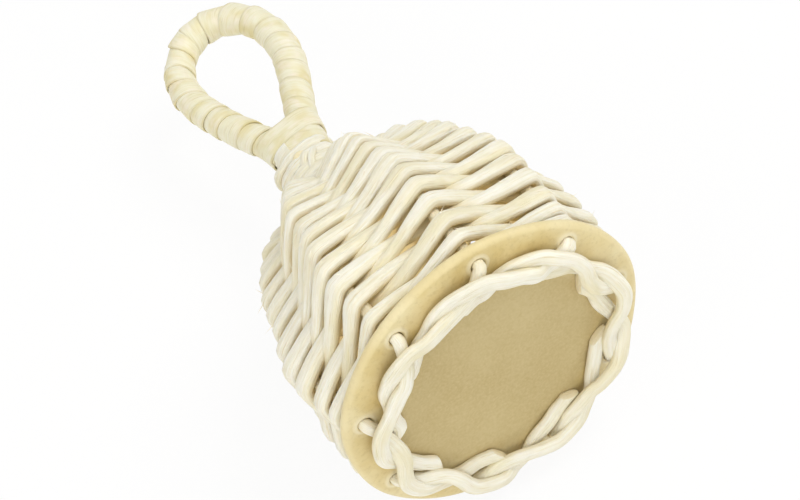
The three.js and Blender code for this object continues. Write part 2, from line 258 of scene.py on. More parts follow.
def bumped(tree, height, strength, depth_mm):
    """Relief too fine for the mesh."""
    sockets = {"Height": height, "Strength": strength, "Distance": depth_mm * MM}
    return made(tree, "ShaderNodeBump", sockets)


# %% Reed and cane finishes
def strand_finish(name, pale, warm, golden, blush, streak_and_painted_shade, hidden_shade_and_cut_end_colour, fibre_lines, patches, roughness, bump_mm, underside_shade_strength, edge):
    """Split plant stem: fibre lines, patches, painted shade in a deeper colour on its underside, edges and hidden
    parts.
    """
    material, tree, shader = new_finish(name)
    grain = attribute(tree, "grain", "Vector")
    shift = attribute(tree, "strand")
    section = add(tree, "ShaderNodeSeparateXYZ", {0: attribute(tree, "section", "Vector")}).outputs
    fibre = drawn_noise(tree, grain, fibre_lines, shift, 4.0, 0.62)
    fine = drawn_noise(tree, grain, tuple(3.1 * v for v in fibre_lines), shift, 3.0, 0.6)
    patch = drawn_noise(tree, grain, patches, shift, 2.0)
    dash = drawn_noise(tree, grain, (0.14, 3.2, 3.2), shift, 2.0)
    bloom = drawn_noise(tree, grain, tuple(2.2 * v for v in patches), plus(tree, shift, 9.0), 2.0)
    colour = tinted(tree, spread(tree, fibre, 0.34, 0.6), warm, pale)
    for noise, low, high, most, tint in (
        (patch, 0.46, 0.66, 0.9, golden),
        (bloom, 0.5, 0.64, 0.5, blush),
        (fine, 0.5, 0.7, 0.5, golden),
        (dash, 0.6, 0.7, 0.45, streak_and_painted_shade),
    ):
        colour = tinted(tree, spread(tree, noise, low, high, 0.0, most), colour, tint)
    # Painted shade: the deeper colour darkens the strand's edges and underside, where shade falls between strands.
    painted_edge_shade = times(tree, spread(tree, section["Z"], 0.8, 1.0), edge)
    painted_underside_shade = times(tree, spread(tree, section["Y"], 0.5, -0.55), underside_shade_strength)
    colour = tinted(tree, sums(tree, "MAXIMUM", painted_edge_shade, painted_underside_shade), colour, streak_and_painted_shade)
    height = plus(tree, fibre, times(tree, fine, 0.45))
    fill(tree, shader, {
        # Painted shade on the strand's hidden parts in the inner colour; the cut ends take the same colour as their
        # own darker end.
        "Base Color": tinted(tree, attribute(tree, "tuck"), colour, hidden_shade_and_cut_end_colour),
        "Roughness": spread(tree, fine, 0.3, 0.7, roughness - 0.1, roughness + 0.12),
        "Normal": bumped(tree, height, 0.8, bump_mm),
        "Specular IOR Level": 0.3,
        "Subsurface Weight": 0.1,
        "Subsurface Radius": (1.0, 0.8, 0.5),
        "Subsurface Scale": 1.0 * MM,
    })
    return material


reed_look = {
    "pale": srgb(252, 249, 235),
    "warm": srgb(242, 235, 209),
    "golden": srgb(239, 230, 195),
    "blush": srgb(252, 248, 235),
    "hidden_shade_and_cut_end_colour": srgb(246, 230, 184),
    "fibre_lines": (0.05, 1.9, 1.9),
    "patches": (0.045, 0.2, 0.2),
    "roughness": 0.75,
    "bump_mm": 0.6,
    "edge": 0.0,
}
# Each finish's deep colour and its underside and edge amounts set its painted shade; the stakes get less of it.
reed_finish = strand_finish("cream_reed", streak_and_painted_shade=srgb(214, 188, 128), underside_shade_strength=0.8, **reed_look)
stake_finish = strand_finish("stake_reed", streak_and_painted_shade=srgb(210, 190, 136), underside_shade_strength=0.5, **reed_look)
cane_finish = strand_finish(
    "satin_cane",
    pale=srgb(239, 234, 210),
    warm=srgb(232, 227, 195),
    golden=srgb(224, 211, 158),
    blush=srgb(243, 233, 216),
    streak_and_painted_shade=srgb(192, 176, 122),
    hidden_shade_and_cut_end_colour=srgb(206, 190, 140),
    fibre_lines=(0.06, 0.9, 0.9),
    patches=(0.11, 0.16, 0.16),
    roughness=0.5,
    bump_mm=0.14,
    underside_shade_strength=0.0,
    edge=0.45,
)
print("finishes:", [m.name for m in bpy.data.materials if m.name.endswith(("reed", "cane"))])

# %% [markdown]
# ## The lying basket
# All routes are worked out with the basket upright, disc down, because the maker works that way and the
# sums stay simple. One turn and one shift then lay it on its side, just as the CAD frame has it.

# %% Upright to lying
LYING_TILT = math.radians(4.9245)
DISC_CENTRE = np.array([0.006, -69.119, 37.939])
UPWARD = np.array([0.0, 0.0, 1.0])
LYING_TURN = np.array([
    [1.0, 0.0, 0.0],
    [0.0, -math.sin(LYING_TILT), math.cos(LYING_TILT)],
    [0.0, -math.cos(LYING_TILT), -math.sin(LYING_TILT)],
])


def laid(points):
    """Upright millimetres to the lying frame in metres."""
    return (points @ LYING_TURN.T + DISC_CENTRE) * MM


def polar(radius, angle, height):
    """Points round the basket's axis."""
    radius, angle, height = np.broadcast_arrays(radius, angle, height)
    return np.stack([radius * np.cos(angle), radius * np.sin(angle), height], axis=-1)


def unit(vectors):
    """Vectors of length one."""
    return vectors / np.linalg.norm(vectors, axis=-1, keepdims=True)


def smooth_line(stops, parts):
    """A round line through stops: a centripetal Catmull-Rom curve, as the CAD frame uses."""
    stops = np.asarray(stops, float)
    stops = np.vstack([2 * stops[0] - stops[1], stops, 2 * stops[-1] - stops[-2]])
    pieces = []
    for a, b, c, d in zip(stops, stops[1:], stops[2:], stops[3:]):
        t0, t1, t2, t3 = np.cumsum([0.0] + [np.linalg.norm(v) ** 0.5 for v in (b - a, c - b, d - c)])
        t = np.linspace(t1, t2, parts, endpoint=False)[:, None]
        ab = ((t1 - t) * a + (t - t0) * b) / (t1 - t0)
        bc = ((t2 - t) * b + (t - t1) * c) / (t2 - t1)
        cd = ((t3 - t) * c + (t - t2) * d) / (t3 - t2)
        abc = ((t2 - t) * ab + (t - t0) * bc) / (t2 - t0)
        bcd = ((t3 - t) * bc + (t - t1) * cd) / (t3 - t1)
        pieces.append(((t2 - t) * abc + (t - t1) * bcd) / (t2 - t1))
    return np.vstack([*pieces, stops[-2:-1]])


def run_along(points):
    """How far along a line each of its points is."""
    steps = np.linalg.norm(np.diff(points, axis=0), axis=1)
    return np.concatenate([[0.0], np.cumsum(steps)])


def read_off(places, run, columns):
    """What a line carries at some places along it."""
    return np.stack([np.interp(places, run, column) for column in columns.T], axis=-1)


def even_line(points, step):
    """The same line with its points an even step apart."""
    run = run_along(points)
    places = np.linspace(0.0, run[-1], max(2, round(run[-1] / step) + 1))
    return read_off(places, run, points)


def eased(share):
    """A soft start and a soft stop between zero and one."""
    return share * share * (3 - 2 * share)


def ramp(values, start, length):
    """From zero at the start to one a length further on."""
    return np.clip((values - start) / length, 0, 1)


def hump(values, top, width):
    """A soft hump of height one."""
    return np.exp(-((values - top) / width) ** 2)


def wander(rng, count, smoothness):
    """A gentle random line about zero, for what no hand makes twice the same."""
    knots = rng.normal(size=int(count / smoothness) + 4)
    places = np.linspace(1.0, len(knots) - 3.0, count)
    low = places.astype(int)
    ease = eased(places - low)
    return knots[low] * (1 - ease) + knots[low + 1] * ease


def across(points, guide):
    """Two directions across a line, the first as close to the guide as can be."""
    tangents = unit(np.gradient(points, axis=0))
    face = unit(guide - np.sum(guide * tangents, axis=1, keepdims=True) * tangents)
    return face, np.cross(tangents, face)


print("disc centre lies at", np.round(laid(np.zeros((1, 3)))[0], 4))

# %% [markdown]
# ## One tree for every strand
# Weavers, stakes, binding, collar, handle and wrap are all one strand of plant stem that follows a route.
# A bevelled curve could draw them, but its section could not change from round to squeezed to flat. So the
# route is a line of points that carry their own width, thickness and directions, and a Geometry Nodes tree
# sweeps a ring along it, moves each ring point to its place, and notes the grain for the finish.

# %% The strand tree
VECTOR = "FLOAT_VECTOR"


def new_tree(name, *numbers, counts=()):
    """An empty Geometry Nodes tree with named inputs: whole counts, numbers and a finish."""
    tree = bpy.data.node_groups.new(name, "GeometryNodeTree")
    tree.interface.new_socket("Geometry", in_out="INPUT", socket_type="NodeSocketGeometry")
    kinds = [*((label, "Int") for label in counts), *((label, "Float") for label in numbers), ("Finish", "Material")]
    for label, kind in kinds:
        tree.interface.new_socket(label, in_out="INPUT", socket_type="NodeSocket" + kind)
    tree.interface.new_socket("Geometry", in_out="OUTPUT", socket_type="NodeSocketGeometry")
    return tree, add(tree, "NodeGroupInput").outputs, add(tree, "NodeGroupOutput").inputs


def carried(tree, name, kind="FLOAT"):
    """A value that the route's points carry."""
    return made(tree, "GeometryNodeInputNamedAttribute", {"Name": name}, data_type=kind)


def keep(tree, geometry, name, value, kind="FLOAT"):
    """Write a value on every point."""
    sockets = {"Geometry": geometry, "Name": name, "Value": value}
    return made(tree, "GeometryNodeStoreNamedAttribute", sockets, data_type=kind, domain="POINT")


def end_tree(tree, geometry, given, result):
    """Close a tree: plain geometry that wears its finish."""
    whole = made(tree, "GeometryNodeRealizeInstances", {"Geometry": geometry})
    dressed = made(tree, "GeometryNodeSetMaterial", {"Geometry": whole, "Material": given["Finish"]})
    tree.links.new(dressed, result["Geometry"])
    return tree


def squared(tree, value, squareness):
    """Push a cosine or sine towards its ends, which turns a round section into a flat one."""
    size = sums(tree, "POWER", sums(tree, "ABSOLUTE", value), squareness)
    return times(tree, size, sums(tree, "SIGN", value))


def strand_tree():
    tree, given, result = new_tree(
        "Strand along a route", "Squareness", "Unevenness", "Crown", "Ridges", "Seed", counts=["Sides"]
    )
    place = made(tree, "GeometryNodeInputPosition")
    line = made(tree, "GeometryNodeMeshToCurve", {"Mesh": given["Geometry"]})
    line = keep(tree, line, "centre", place, VECTOR)
    ring = made(tree, "GeometryNodeCurvePrimitiveCircle", {"Resolution": given["Sides"], "Radius": MM})
    index = made(tree, "GeometryNodeInputIndex")
    ring = keep(tree, ring, "round", sums(tree, "DIVIDE", index, given["Sides"]))
    tube = made(tree, "GeometryNodeCurveToMesh", {"Curve": line, "Profile Curve": ring, "Fill Caps": True})
    turn = times(tree, carried(tree, "round"), 2 * math.pi)
    wide = squared(tree, sums(tree, "COSINE", turn), given["Squareness"])
    thick = squared(tree, sums(tree, "SINE", turn), given["Squareness"])
    section = vector(tree, wide, thick, sums(tree, "ABSOLUTE", wide))
    tube = keep(tree, tube, "section", section, VECTOR)
    swell = 1.0
    for reach, fineness, amount in ((0.16, 1.0, "Unevenness"), (0.05, 3.2, "Ridges")):
        along = times(tree, carried(tree, "along"), reach)
        where = vector(tree, along, times(tree, wide, fineness), times(tree, thick, fineness))
        noise = noise_at(tree, where, given["Seed"])
        part = times(tree, sums(tree, "SUBTRACT", noise, 0.5), given[amount])
        swell = plus(tree, part, swell)
    arch = times(tree, sums(tree, "SUBTRACT", 0.5, times(tree, wide, wide)), given["Crown"])
    wide = times(tree, times(tree, wide, carried(tree, "half_width")), swell)
    thick = times(tree, times(tree, thick, carried(tree, "half_thick")), swell)
    lifted = plus(tree, thick, arch)
    sideways = scaled(tree, carried(tree, "side", VECTOR), wide)
    upwards = scaled(tree, carried(tree, "face", VECTOR), lifted)
    moved = joined(tree, carried(tree, "centre", VECTOR), joined(tree, sideways, upwards))
    grain = vector(tree, carried(tree, "along"), times(tree, wide, 1 / MM), times(tree, thick, 1 / MM))
    tube = keep(tree, tube, "grain", grain, VECTOR)
    tube = made(tree, "GeometryNodeSetPosition", {"Geometry": tube, "Position": moved})
    tube = made(tree, "GeometryNodeSetShadeSmooth", {"Geometry": tube})
    return end_tree(tree, tube, given, result)


STRAND_TREE = strand_tree()
print("tree:", STRAND_TREE.name, "with", len(STRAND_TREE.nodes), "nodes")

# %% From a route to a finished strand
WORKING_MARKS = ("centre", "round", "side", "face", "half_width", "half_thick", "along", "heading", "length")


def mark(mesh, **layers):
    """Write numbers or vectors on a mesh's points."""
    for name, values in layers.items():
        kind, key = (VECTOR, "vector") if values.ndim == 2 else ("FLOAT", "value")
        layer = mesh.attributes.new(name, kind, "POINT")
        layer.data.foreach_set(key, values.astype(np.float32).ravel())


def inside_out(mesh):
    """True where a closed mesh's faces point inwards: its signed volume is below zero."""
    shape = bmesh.new()
    shape.from_mesh(mesh)
    volume = shape.calc_volume(signed=True)
    shape.free()
    return volume < 0


def grown(name, mesh, tree, **inputs):
    """Run a tree on a mesh and keep the result as a plain mesh object."""
    piece = placed(name, mesh)
    modifier = piece.modifiers.new(tree.name, "NODES")
    modifier.node_group = tree
    for item in tree.interface.items_tree:
        if item.in_out == "INPUT" and item.name in inputs:
            modifier[item.identifier] = inputs[item.name]
    depsgraph = bpy.context.evaluated_depsgraph_get()
    finished = bpy.data.meshes.new_from_object(
        piece.evaluated_get(depsgraph), preserve_all_data_layers=True, depsgraph=depsgraph
    )
    piece.modifiers.remove(modifier)
    piece.data = finished
    finished.name = name
    if inside_out(finished):
        finished.flip_normals()
    for layer in WORKING_MARKS:
        if layer in finished.attributes:
            finished.attributes.remove(finished.attributes[layer])
    return piece


def settle(piece, body, slot, *nodes):
    """Hang a piece on the body it rides on and hide the CAD solids it stands for. The slot is not used."""
    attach(piece, body)
    if nodes:
        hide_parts(*nodes)


CUT_STEPS = np.array([(0.0, 1.0), (0.14, 0.93), (0.17, 0.6), (0.12, 0.2)])
CUT_SHADE = 0.45


def strand(name, points, face, side, half_width, half_thick, finish, seed, tuck=0.0, slot="reed", nodes=(), sides=20,
           squareness=1.0, unevenness=0.2, ridges=0.16, crown=0.0):
    """Sweep one strand of the basket: the route and its sections are in upright millimetres."""
    count = len(points)
    half_width, half_thick, tuck = (np.broadcast_to(v, (count,)) for v in (half_width, half_thick, tuck))
    first, last = unit(points[0] - points[1]), unit(points[-1] - points[-2])
    order = np.concatenate([np.zeros(3, int), np.arange(count), np.full(3, count - 1)])
    shift = np.concatenate([CUT_STEPS[:0:-1, :1] * first, np.zeros((count, 3)), CUT_STEPS[1:, :1] * last])
    shrink = np.concatenate([CUT_STEPS[:0:-1, 1], np.ones(count), CUT_STEPS[1:, 1]])
    mesh = bpy.data.meshes.new(name + "_route")
    places = laid(points[order] + shift)
    mesh.from_pydata(places.tolist(), [(i, i + 1) for i in range(len(places) - 1)], [])
    mark(
        mesh,
        face=face[order] @ LYING_TURN.T,
        side=side[order] @ LYING_TURN.T,
        half_width=half_width[order] * shrink * MM,
        half_thick=half_thick[order] * shrink * MM,
        along=run_along(points)[order],
        # Painted shade on hidden parts, and the cut ends' own darker colour.
        tuck=np.maximum(tuck[order], CUT_SHADE * (shrink < 1.0)),
        strand=np.full(len(places), float(seed)),
    )
    piece = grown(name, mesh, STRAND_TREE, Sides=sides, Squareness=squareness, Unevenness=unevenness,
                  Crown=crown * MM, Ridges=ridges, Seed=float(seed), Finish=finish)
    bpy.data.meshes.remove(mesh)
    settle(piece, "basket", slot, *nodes)
    return piece


print("strand ends are cut in", len(CUT_STEPS) - 1, "small steps")

# %% [markdown]
# ## Weavers
# Two reeds are twined round the stakes: at every stake one passes outside and the other inside, and between
# stakes they turn half round each other. A sine wave would make soft ripples, but real reed runs straight
# from stake to stake and bends sharply over each one, so the route is made of straight runs with a small
# round at each bend. The rows stand a little apart near the disc and close up towards the shoulder.

# %% The wall
STAKES = 9
SPACING = 2 * math.pi / STAKES
TOP_STAKE_ANGLE = -math.pi / 2
WALL_STOPS = [(33.3, 0.0), (34.4, 16.0), (33.3, 31.0), (29.9, 44.0), (23.9, 56.0), (19.9, 60.2), (12.2, 66.0),
              (4.9, 72.4), (4.9, 83.0), (4.9, 96.0)]
wall_line = smooth_line(WALL_STOPS, 60)
wall_run = run_along(wall_line)
wall_slope = unit(np.gradient(wall_line, axis=0))

LEAN_WAY = polar(1.0, math.radians(-20.0), 0.0)
LEAN_HEIGHTS = [0.0, 12.0, 20.0, 27.0, 34.0, 40.0, 44.0, 50.0, 55.0, 60.0, 66.0, 72.0, 90.0]
LEAN_SIZES = [0.0, -0.5, -0.3, 0.3, 1.0, 0.6, 0.3, 0.3, 0.2, -0.4, -0.9, -1.2, -1.2]
BELLY_HEIGHTS = [0.0, 8.0, 14.0, 22.0, 31.0, 40.0, 46.0, 54.0, 60.0]
BELLY_SIZES = [0.0, 0.3, 1.1, 1.8, 1.3, 0.5, 0.6, 0.4, 0.0]


def wall_at(run, angle):
    """Radius, place and outward direction of the stakes' surface."""
    radius, height, slope_out, slope_up = (
        np.interp(run, wall_run, column) for column in (*wall_line.T, *wall_slope.T)
    )
    underside = np.clip(np.sin(angle), 0, 1) ** 2
    radius = radius + np.interp(height, BELLY_HEIGHTS, BELLY_SIZES) * (1 - underside)
    lean = np.interp(height, LEAN_HEIGHTS, LEAN_SIZES)
    place = polar(radius, angle, height) + np.multiply.outer(lean, LEAN_WAY)
    return radius, place, polar(slope_up, angle, -slope_out)


LOOP_TURN = math.radians(15.5)
loop_across = np.array([math.cos(LOOP_TURN), -math.sin(LOOP_TURN), 0.0])
loop_face = np.array([math.sin(LOOP_TURN), math.cos(LOOP_TURN), 0.0])
NECK_PRESS = 0.3
NECK_FOOT = 64.0
NECK_LENGTH = 20.0


def gathered(points):
    """Press the neck flat towards the loop's plane, as the collar does."""
    press = NECK_PRESS * eased(ramp(points[:, 2], NECK_FOOT, NECK_LENGTH))
    return points - loop_face * ((points @ loop_face) * press)[:, None]


TABLE_REACH = 6.0
TABLE_PRESS = 0.8


def rested(points):
    """Press the wall flat where it lies on the table, as the basket's own weight does."""
    height = (points @ LYING_TURN.T + DISC_CENTRE)[:, 2]
    lift = (1 - TABLE_PRESS) * np.clip(TABLE_REACH - height, 0, None)
    return points + lift[:, None] * LYING_TURN[2]


print("wall:", round(wall_run[-1]), "mm along a stake, from the disc into the neck")

# %% The weavers' routes
STAKE_RADIUS = 1.3
WEAVER_HALF_THICK = 1.55
FIRST_CROSSING = -4
START_SPACINGS = 5
START_DROP = 1.6
START_NARROW = 0.6
END_THIN = 0.35
LAST_CROSSING = 109
LENGTHS_PER_WEAVER = 6
WEAVE_START = 5.3
WEAVE_END = 71.2
FIRST_PITCH = 4.3
WIDE_PITCH = 6.2
CLOSE_PITCH = 4.9
STEPS_PER_SPACING = 24
BEND_ROUND = 0.03
CROSSING_STEP = 0.5
KNEE_WIDTH = 0.38
MID_WIDTH = 0.27
TWIST_RISE = 0.25
BEND_LOSS = 0.8
BEND_SLOPE = 0.254
TUCK_SHADE = 0.8
ROW_WANDER = 0.36
DEPTH_WANDER = 0.16
ROLL_WANDER = 0.16
WIDTH_WANDER = 0.08
THICK_WANDER = 0.06

turn_stops = np.linspace(0.0, (LAST_CROSSING - FIRST_CROSSING) / STAKES, 400)
last_turn = turn_stops[-1]
pitch_stops = np.interp(turn_stops, [0.0, 0.5, 1.5, 3.5, 7.0, last_turn],
                        [FIRST_PITCH, FIRST_PITCH, WIDE_PITCH, WIDE_PITCH - 0.2, 5.4, CLOSE_PITCH])
climb_stops = np.concatenate([[0.0], np.cumsum((pitch_stops[1:] + pitch_stops[:-1]) / 2 * np.diff(turn_stops))])
climb_stops *= (WEAVE_END - WEAVE_START) / climb_stops[-1]


def softened(values, spread_steps):
    """Round off the corners of a line of values."""
    reach = int(4 * spread_steps)
    kernel = np.exp(-0.5 * (np.arange(-reach, reach + 1) / spread_steps) ** 2)
    padded = np.pad(values, reach, mode="reflect")
    return np.convolve(padded, kernel / kernel.sum(), mode="valid")


def rolled(face, side, roll):
    """Turn a section about its strand."""
    cosine, sine = np.cos(roll)[:, None], np.sin(roll)[:, None]
    return face * cosine + side * sine, side * cosine - face * sine


def weaver_route(number, first, last):
    """Places, directions and half sizes of one weaver, and painted shade where it is hidden inside the stakes."""
    rng = np.random.default_rng(40 + number)
    steps = int((last - first) * STEPS_PER_SPACING) + 1
    crossing = np.linspace(first, last, steps)
    twist = math.pi * (crossing + number)
    outside = np.cos(twist)
    rows_done = (crossing - FIRST_CROSSING) / STAKES
    starting = np.clip(-rows_done, 0, 1)
    pitch = np.interp(rows_done, turn_stops, pitch_stops)
    run = WEAVE_START + np.interp(rows_done, turn_stops, climb_stops) - START_DROP * starting
    run = run + TWIST_RISE * pitch * np.sin(twist) * np.clip(0.4 + rows_done, 0, 1)
    run = run + ROW_WANDER * wander(rng, steps, 0.9 * STEPS_PER_SPACING)
    angle = TOP_STAKE_ANGLE + SPACING * crossing
    radius, place, out = wall_at(run, angle)
    to_stake = np.abs(crossing - np.round(crossing))
    chord = 1 - math.cos(SPACING / 2) / np.cos(SPACING * (0.5 - to_stake))
    ending = END_THIN * np.clip((crossing - LAST_CROSSING) / STAKES + 1, 0, 1)
    reach = (STAKE_RADIUS + WEAVER_HALF_THICK) * (1 - ending)
    which_side = np.where(np.cos(math.pi * (np.round(crossing) + number)) > 0, 1.0, -1.0)
    sway = reach * (1 - 2 * to_stake) * which_side
    depth = softened(sway - chord * radius, BEND_ROUND * STEPS_PER_SPACING)
    lost = BEND_LOSS * BEND_ROUND * (2 * reach + BEND_SLOPE * radius)
    depth = depth + lost * np.clip(outside, 0, 1) ** 2 - CROSSING_STEP * np.sin(twist)
    depth = depth + DEPTH_WANDER * wander(rng, steps, 0.8 * STEPS_PER_SPACING)
    points = rested(gathered(place + out * depth[:, None]))
    face, side = rolled(*across(points, out), ROLL_WANDER * wander(rng, steps, 0.7 * STEPS_PER_SPACING))
    between = np.sin(twist) ** 2
    width = pitch * (KNEE_WIDTH + (MID_WIDTH - KNEE_WIDTH) * between)
    width = width * (1 - START_NARROW * starting)
    width = width * (1 + WIDTH_WANDER * wander(rng, steps, 0.8 * STEPS_PER_SPACING))
    thick = WEAVER_HALF_THICK * (1 - ending)
    thick = thick * (1 + THICK_WANDER * wander(rng, steps, 0.6 * STEPS_PER_SPACING))
    # Painted shade where the weaver passes inside the stakes.
    tuck = TUCK_SHADE * ramp(-outside, 0.05, 0.9)
    return points, face, side, width, thick, tuck


routes = [weaver_route(number, FIRST_CROSSING - START_SPACINGS + number, LAST_CROSSING) for number in range(2)]
for number, letter in enumerate("ab"):
    nodes = [f"weaver_{letter}_length_{n}" for n in range(1, LENGTHS_PER_WEAVER + 1)]
    piece = strand(f"weaver_{letter}", *routes[number][:5], reed_finish, 3 + number, routes[number][5], nodes=nodes,
                   sides=22, squareness=0.86)
    print(piece.name, "is", round(run_along(routes[number][0])[-1]), "mm long,", len(piece.data.polygons), "faces")

# %% [markdown]
# ## Loose fibres
# Where reed is bent hard over a stake a few fibres split off and stand up. A particle system could grow them,
# but its hairs would not export. So points are set on the weavers' knees, each with a heading and a length, and
# a tree puts one thin pointed sliver on each.

# %% Fibre tree
def fibre_tree():
    tree, given, result = new_tree("Loose fibres", "Thickness")
    sliver = made(tree, "GeometryNodeMeshCone", {
        "Vertices": 4, "Side Segments": 2, "Radius Top": 0.0, "Radius Bottom": given["Thickness"], "Depth": 1.0,
    })
    heading = carried(tree, "heading", VECTOR)
    turn = made(tree, "FunctionNodeAlignRotationToVector", {"Vector": heading}, axis="Z")
    size = vector(tree, 1.0, 1.0, carried(tree, "length"))
    sockets = {"Points": given["Geometry"], "Instance": sliver, "Rotation": turn, "Scale": size}
    fibres = made(tree, "GeometryNodeInstanceOnPoints", sockets)
    return end_tree(tree, fibres, given, result)


def fibre_finish():
    material, tree, shader = new_finish("split_fibre")
    shade = speckle(tree, 300.0, 1.0)
    colour = tinted(tree, spread(tree, shade, 0.35, 0.65), srgb(236, 224, 192), srgb(250, 246, 230))
    fill(tree, shader, {"Base Color": colour, "Roughness": 0.7})
    return material


FIBRE_TREE = fibre_tree()
print("tree:", FIBRE_TREE.name, "with", len(FIBRE_TREE.nodes), "nodes")

# %% Fibres on the knees
FIBRE_COUNT = 170
FIBRE_THICKNESS = 0.15
FIBRE_LENGTHS = (1.4, 4.2)
FIBRE_LIFTS = (0.1, 0.5)
FIBRE_DEPTH = 0.93
FIBRE_ROOT = 0.3
FIBRE_LEAN = 0.5
FIBRE_SPREAD = 0.45
KNEE_SPREAD = 0.22
rng = np.random.default_rng(90)
roots, headings, lengths = [], [], []
for number in range(FIBRE_COUNT):
    points, face, side, width, thick, _ = routes[number % 2]
    knee = 2 * rng.integers(2, (LAST_CROSSING - FIRST_CROSSING) // 2 - 3) + 1
    i = int(np.clip((knee + rng.normal() * KNEE_SPREAD) * STEPS_PER_SPACING, 2, len(points) - 3))
    lean = rng.normal() * FIBRE_LEAN
    out = face[i] * thick[i] * math.cos(lean) + side[i] * width[i] * math.sin(lean)
    ahead = unit(points[i + 1] - points[i - 1]) * rng.choice([-1.0, 1.0])
    heading = unit(ahead + face[i] * rng.uniform(*FIBRE_LIFTS) + side[i] * rng.normal() * FIBRE_SPREAD)
    roots.append(points[i] + FIBRE_DEPTH * out - FIBRE_ROOT * heading)
    headings.append(heading)
    lengths.append(rng.uniform(*FIBRE_LENGTHS))
mesh = bpy.data.meshes.new("fibre_roots")
mesh.from_pydata(laid(np.array(roots)).tolist(), [], [])
mark(mesh, heading=np.array(headings) @ LYING_TURN.T, length=np.array(lengths) * MM)
piece = grown("loose_fibres", mesh, FIBRE_TREE, Thickness=FIBRE_THICKNESS * MM, Finish=fibre_finish())
settle(piece, "basket", "reed")
print("loose fibres:", FIBRE_COUNT, "with", len(piece.data.polygons), "faces")

# %% [markdown]
# ## Stakes and foot border
# A stake is one reed: its cut end lies inside the foot border, it rides over and under its neighbours, goes
# through its hole and runs up the wall into the neck. The border is a plait that repeats nine times, so one
# route is drawn in lanes and spacings and turned round the disc.

# %% Stakes
HOLE_CIRCLE = 33.3
LANE = 2.9
OFF_LANE = 2.2
LOW_LANE = 1.2
BORDER_HALF_WIDTH = 1.9
BORDER_HALF_THICK = 1.2
BORDER_ROUTE = [
    (2.4, 2.5, 0.0), (2.2, 2.35, 0.0), (2.0, 2.1, 0.0), (1.8, 1.6, 0.0), (1.62, 0.95, 0.12), (1.45, 0.5, 0.48),
    (1.25, 0.35, 0.95), (1.0, 0.5, 1.22), (0.8, 1.05, 1.3), (0.62, 1.6, 1.15), (0.42, 1.77, 0.9), (0.2, 1.3, 0.5),
    (0.08, 0.68, 0.12), (0.02, 0.2, -0.2),
]
BORDER_DRIFT = (0.035, 0.1, 0.06)
CUT_END_DRIFT = (-0.14, 0.2)
HOLE_STOPS = [-4.0, 0.0, 3.0, 7.0]
HOLE_WIDTHS = [STAKE_RADIUS, 1.6, 1.6, BORDER_HALF_WIDTH]
HOLE_THICKS = [STAKE_RADIUS, 1.55, 1.4, BORDER_HALF_THICK]
CUT_SLANTS = (0.7, 1.4)
CUT_LENGTH = 3.5
STAKE_WANDER = 0.07
STAKE_SHADE = 0.55
IN_HOLE_HEIGHT = -0.3
STAKE_FOOT_RUN = 1.6
STAKE_TOP_RUN = wall_run[np.argmax(wall_line[:, 1] >= 87.0)]


def stake_route(index):
    rng = np.random.default_rng(70 + index)
    angle = TOP_STAKE_ANGLE + SPACING * index
    drift = rng.normal(size=(len(BORDER_ROUTE), 3)) * BORDER_DRIFT
    drift[0, 0] = rng.uniform(*CUT_END_DRIFT)
    drift[-2:] = 0
    border = [polar(HOLE_CIRCLE - inside * LANE, angle - past * SPACING, -(LOW_LANE + max(off, -0.2) * OFF_LANE))
              for past, inside, off in np.array(BORDER_ROUTE) + drift]
    wall = [wall_at(run, angle)[1] for run in np.linspace(STAKE_FOOT_RUN, STAKE_TOP_RUN, 16)]
    stops = [*border, polar(HOLE_CIRCLE, angle, IN_HOLE_HEIGHT), *wall]
    return rested(gathered(even_line(smooth_line(stops, 16), 0.6)))


for index in range(STAKES):
    points = stake_route(index)
    run = run_along(points)
    height = points[:, 2]
    upright = (ramp(height, -2.4, 2.8) * ramp(run, 20.0, 5.0))[:, None]
    outward = unit(points * (1.0, 1.0, 0.0))
    face, side = across(points, outward * upright - UPWARD * (1 - upright))
    to_hole = run[np.nonzero(height < -0.5)[0][-1]] - run
    half_width = np.interp(to_hole, HOLE_STOPS, HOLE_WIDTHS)
    half_thick = np.interp(to_hole, HOLE_STOPS, HOLE_THICKS)
    rng = np.random.default_rng(80 + index)
    half_width = half_width * (1 + STAKE_WANDER * wander(rng, len(run), 9))
    slope = rng.uniform(*CUT_SLANTS) * np.clip(1 - run / CUT_LENGTH, 0, 1)
    side = side + slope[:, None] * unit(np.gradient(points, axis=0))
    # Painted shade on the stake where it runs up the wall behind the weavers.
    painted_stake_shade = STAKE_SHADE * ramp(height, -0.5, 2.5) * ramp(-height, -80.0, 10.0)
    strand(f"stake_reed_{index + 1}", points, face, side, half_width, half_thick, stake_finish, 11 + index, painted_stake_shade,
           nodes=[f"stake_{index + 1}"], squareness=0.8, ridges=0.22)
print("stakes:", STAKES, "reeds of", round(run_along(points)[-1]), "mm")

# %% [markdown]
# ## Base disc
# The disc is cut from a hard waxed shell: a bare matt field in the middle, a smooth rim, a soft dimple and a
# raised lip round each hole. A boolean would leave long thin faces round the holes, so points are set in
# rings about the centre and about each hole, and a Delaunay triangulation joins them.

# %% Disc
DISC_RADIUS = 38.0
DISC_THICKNESS = 3.2
FIELD_RADIUS = 23.5
RIM_FALL = 0.5
RIM_ROUND = 1.35
RIM_POINTS = 216
RIM_ROWS = 14
HOLE_RADIUS = 1.75
HOLE_RINGS = (HOLE_RADIUS, 1.9, 2.1, 2.35, 2.7, 3.1)
HOLE_POINTS = 28
HOLE_CLEAR = 3.8
OUTER_RING = 35.7
RING_STEP = 1.05
POINT_STEP = 1.1
LIP_HEIGHT = 0.45
DIMPLE_DEPTH = 0.32
OUTLINE_WAVES = [(0.14, STAKES, -STAKES * TOP_STAKE_ANGLE), (0.25, 2, 0.6), (0.15, 5, 2.0)]
hole_centres = polar(HOLE_CIRCLE, TOP_STAKE_ANGLE + SPACING * np.arange(STAKES), 0.0)[:, :2]
face_radius = DISC_RADIUS - RIM_ROUND


